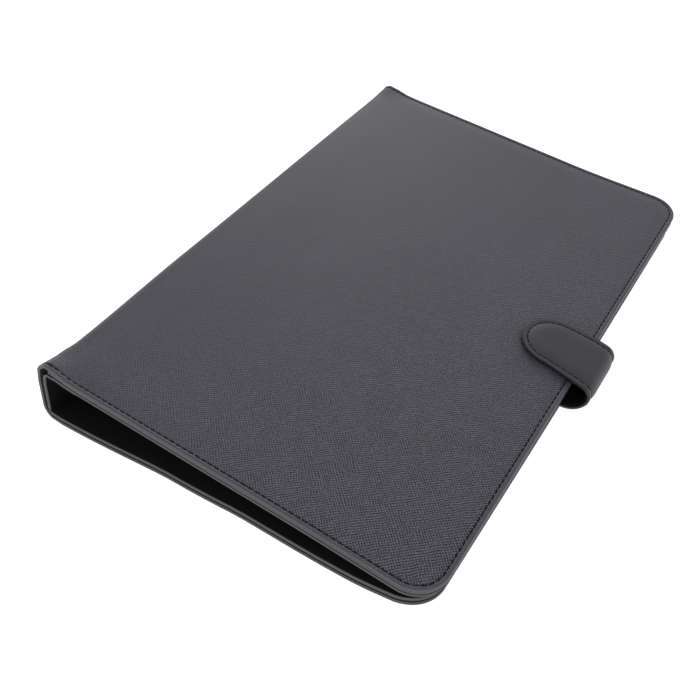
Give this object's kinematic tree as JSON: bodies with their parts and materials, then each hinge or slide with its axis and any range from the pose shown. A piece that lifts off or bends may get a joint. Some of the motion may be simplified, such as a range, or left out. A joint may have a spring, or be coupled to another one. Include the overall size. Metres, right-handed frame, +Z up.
{
  "type": "tablet keyboard case",
  "caption": "Folding leatherette tablet case with a slim keyboard in its base, a creased front cover that stands the tablet up, elastic corner bands and a magnetic closing strap.",
  "frame": {"origin": "centre of the base cover's underside, which lies on the table", "axes": "+Z up from the table, +X along the spine to the right of someone who types, +Y from the strap towards the spine"},
  "size_m": [0.275, 0.19, 0.0291],
  "materials": {
    "cover_leatherette": "cross-grained charcoal leatherette, satin",
    "lining_cloth": "black microfibre, matt",
    "stiffener_board": "grey board",
    "elastic_band": "woven elastic",
    "keyboard_housing": "fine moulded texture, matt",
    "key_caps": "satin",
    "keyboard_steel": "plated",
    "keyboard_film": "film",
    "dome_rubber": "silicone, matt",
    "light_pipe": "milky"
  },
  "bodies": {
    "base_cover": {"base_cover_skin": "cover_leatherette", "base_cover_board": "stiffener_board", "base_cover_lining": "lining_cloth", "strap_root": "cover_leatherette", "keyboard_tray": "keyboard_housing", "keyboard_frame": "keyboard_housing", "keyboard_screws": "keyboard_steel", "keyboard_support_plate": "keyboard_steel", "keyboard_membrane": "keyboard_film", "keyboard_dome_sheet": "dome_rubber", "battery_cell": "keyboard_film", "controller_board": "keyboard_film", "charging_socket": "keyboard_steel", "status_light_pipe": "light_pipe"},
    "spine": {"spine_skin": "cover_leatherette", "spine_board": "stiffener_board", "spine_lining": "lining_cloth"},
    "stand_panel": {"stand_panel_skin": "cover_leatherette", "stand_panel_board": "stiffener_board", "stand_panel_lining": "lining_cloth"},
    "front_cover": {"front_cover_skin": "cover_leatherette", "front_cover_board": "stiffener_board", "front_cover_lining": "lining_cloth", "catch_plate": "keyboard_steel", "tablet_panel": "lining_cloth", "corner_band_back_left": "elastic_band", "corner_band_back_right": "elastic_band", "corner_band_front_left": "elastic_band", "corner_band_front_right": "elastic_band"},
    "strap_tongue": {"strap_tongue_skin": "cover_leatherette", "strap_tongue_lining": "lining_cloth", "strap_magnet": "keyboard_steel"},
    "power_switch": {"power_switch": "keyboard_housing"},
    "function_keys": {"function_keys": "key_caps"},
    "number_keys": {"number_keys": "key_caps"},
    "upper_letter_keys": {"upper_letter_keys": "key_caps"},
    "home_letter_keys": {"home_letter_keys": "key_caps"},
    "lower_letter_keys": {"lower_letter_keys": "key_caps"},
    "modifier_keys": {"modifier_keys": "key_caps"},
    "space_bar": {"space_bar": "key_caps"}
  },
  "joints": [
    {"name": "spine_fold", "type": "hinge", "parent": "base_cover", "child": "spine", "pos_m": [0, 0.08816, 0.00166], "axis": [-1, 0, 0], "range_deg": [0, 96], "deforming": ["strap_tongue_skin", "strap_tongue_lining", "strap_magnet"]},
    {"name": "top_fold", "type": "hinge", "parent": "spine", "child": "stand_panel", "pos_m": [0, 0.08557, 0.02802], "axis": [1, 0, 0], "range_deg": [-90, 0], "deforming": ["strap_tongue_skin", "strap_tongue_lining", "strap_magnet"]},
    {"name": "stand_crease", "type": "hinge", "parent": "stand_panel", "child": "front_cover", "pos_m": [0, 0.05008, 0.02576], "axis": [-1, 0, 0], "range_deg": [0, 30], "deforming": ["strap_tongue_skin", "strap_tongue_lining", "strap_magnet"]},
    {"name": "strap_bend", "type": "hinge", "parent": "base_cover", "child": "strap_tongue", "pos_m": [0.0004, -0.10058, 0.00668], "axis": [1, 0, 0], "range_deg": [0, 150]},
    {"name": "power_slide", "type": "slide", "parent": "base_cover", "child": "power_switch", "axis": [1, 0, 0], "range_m": [0, 0.003]},
    {"name": "function_press", "type": "slide", "parent": "base_cover", "child": "function_keys", "axis": [0, 0, -1], "range_m": [0, 0.0012], "stiffness_N_per_m": 300, "deforming": ["keyboard_dome_sheet"]},
    {"name": "number_press", "type": "slide", "parent": "base_cover", "child": "number_keys", "axis": [0, 0, -1], "range_m": [0, 0.0012], "stiffness_N_per_m": 300, "deforming": ["keyboard_dome_sheet"]},
    {"name": "upper_letter_press", "type": "slide", "parent": "base_cover", "child": "upper_letter_keys", "axis": [0, 0, -1], "range_m": [0, 0.0012], "stiffness_N_per_m": 300, "deforming": ["keyboard_dome_sheet"]},
    {"name": "home_letter_press", "type": "slide", "parent": "base_cover", "child": "home_letter_keys", "axis": [0, 0, -1], "range_m": [0, 0.0012], "stiffness_N_per_m": 300, "deforming": ["keyboard_dome_sheet"]},
    {"name": "lower_letter_press", "type": "slide", "parent": "base_cover", "child": "lower_letter_keys", "axis": [0, 0, -1], "range_m": [0, 0.0012], "stiffness_N_per_m": 300, "deforming": ["keyboard_dome_sheet"]},
    {"name": "modifier_press", "type": "slide", "parent": "base_cover", "child": "modifier_keys", "axis": [0, 0, -1], "range_m": [0, 0.0012], "stiffness_N_per_m": 300, "deforming": ["keyboard_dome_sheet"]},
    {"name": "space_press", "type": "slide", "parent": "base_cover", "child": "space_bar", "axis": [0, 0, -1], "range_m": [0, 0.0012], "stiffness_N_per_m": 300, "deforming": ["keyboard_dome_sheet"]}
  ]
}
